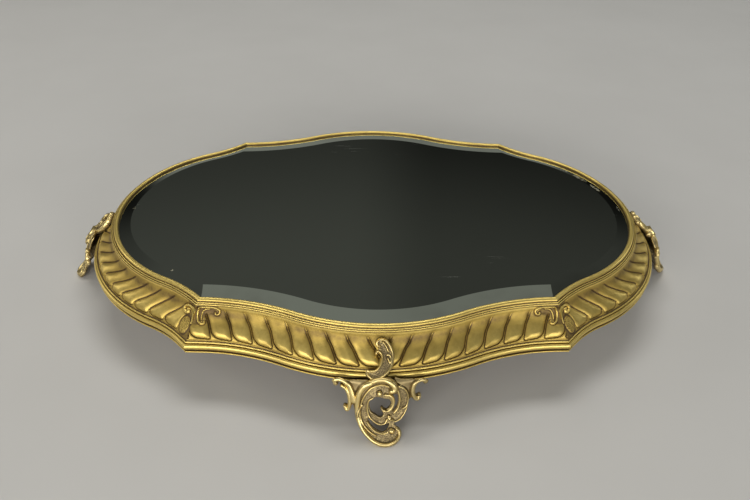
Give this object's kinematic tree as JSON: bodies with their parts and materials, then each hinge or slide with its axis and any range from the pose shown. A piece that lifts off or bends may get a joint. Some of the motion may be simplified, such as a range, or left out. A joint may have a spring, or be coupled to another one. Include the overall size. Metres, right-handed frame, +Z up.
{
  "type": "mirrored plateau tray",
  "caption": "Low four-lobed mirrored plateau: bevelled mirror in a gadrooned gilt-brass frame on pierced scroll feet, with wooden back and turn-buttons.",
  "frame": {"origin": "centre of the bounding box's underside, on the table under the middle of the frame", "axes": "+X along the length, +Z up out of the mirror's face, front towards -Y"},
  "size_m": [0.5754, 0.4344, 0.071],
  "materials": {
    "gilt_brass": "old gilding, burnished high spots, brown in the recesses",
    "foot_bronze": "darker cast brass with rubbed bright edges",
    "plain_brass": "plain, unpolished",
    "mirror_glass": "bevelled, lightly foxed",
    "card": "thin grey-brown card",
    "board_wood": "old unvarnished softwood",
    "screw_steel": "dull, slotted"
  },
  "bodies": {
    "frame": {"rim_moulding_front": "gilt_brass", "rim_moulding_left": "gilt_brass", "rim_moulding_back": "gilt_brass", "rim_moulding_right": "gilt_brass", "frieze_front": "gilt_brass", "frieze_left": "gilt_brass", "frieze_back": "gilt_brass", "frieze_right": "gilt_brass", "base_moulding_front": "gilt_brass", "base_moulding_left": "gilt_brass", "base_moulding_back": "gilt_brass", "base_moulding_right": "gilt_brass", "foot_front": "foot_bronze", "foot_left": "foot_bronze", "foot_back": "foot_bronze", "foot_right": "foot_bronze", "mirror_plate": "mirror_glass", "backing_card": "card", "back_board": "board_wood", "button_lugs": "plain_brass", "button_screws": "screw_steel", "foot_screws": "screw_steel"},
    "button_1": {"turn_button_1": "plain_brass"},
    "button_2": {"turn_button_2": "plain_brass"},
    "button_3": {"turn_button_3": "plain_brass"},
    "button_4": {"turn_button_4": "plain_brass"},
    "button_5": {"turn_button_5": "plain_brass"},
    "button_6": {"turn_button_6": "plain_brass"},
    "button_7": {"turn_button_7": "plain_brass"},
    "button_8": {"turn_button_8": "plain_brass"}
  },
  "joints": [
    {"name": "button_1_turn", "type": "hinge", "parent": "frame", "child": "button_1", "pos_m": [0.05301, -0.15635, 0.04885], "axis": [0, 0, 1], "range_deg": [0, 90]},
    {"name": "button_2_turn", "type": "hinge", "parent": "frame", "child": "button_2", "pos_m": [-0.05301, -0.15635, 0.04885], "axis": [0, 0, 1], "range_deg": [0, 90]},
    {"name": "button_3_turn", "type": "hinge", "parent": "frame", "child": "button_3", "pos_m": [-0.215, -0.06934, 0.04885], "axis": [0, 0, 1], "range_deg": [0, 90]},
    {"name": "button_4_turn", "type": "hinge", "parent": "frame", "child": "button_4", "pos_m": [-0.215, 0.06934, 0.04885], "axis": [0, 0, 1], "range_deg": [0, 90]},
    {"name": "button_5_turn", "type": "hinge", "parent": "frame", "child": "button_5", "pos_m": [-0.05301, 0.15635, 0.04885], "axis": [0, 0, 1], "range_deg": [0, 90]},
    {"name": "button_6_turn", "type": "hinge", "parent": "frame", "child": "button_6", "pos_m": [0.05301, 0.15635, 0.04885], "axis": [0, 0, 1], "range_deg": [0, 90]},
    {"name": "button_7_turn", "type": "hinge", "parent": "frame", "child": "button_7", "pos_m": [0.215, 0.06934, 0.04885], "axis": [0, 0, 1], "range_deg": [0, 90]},
    {"name": "button_8_turn", "type": "hinge", "parent": "frame", "child": "button_8", "pos_m": [0.215, -0.06934, 0.04885], "axis": [0, 0, 1], "range_deg": [0, 90]}
  ]
}
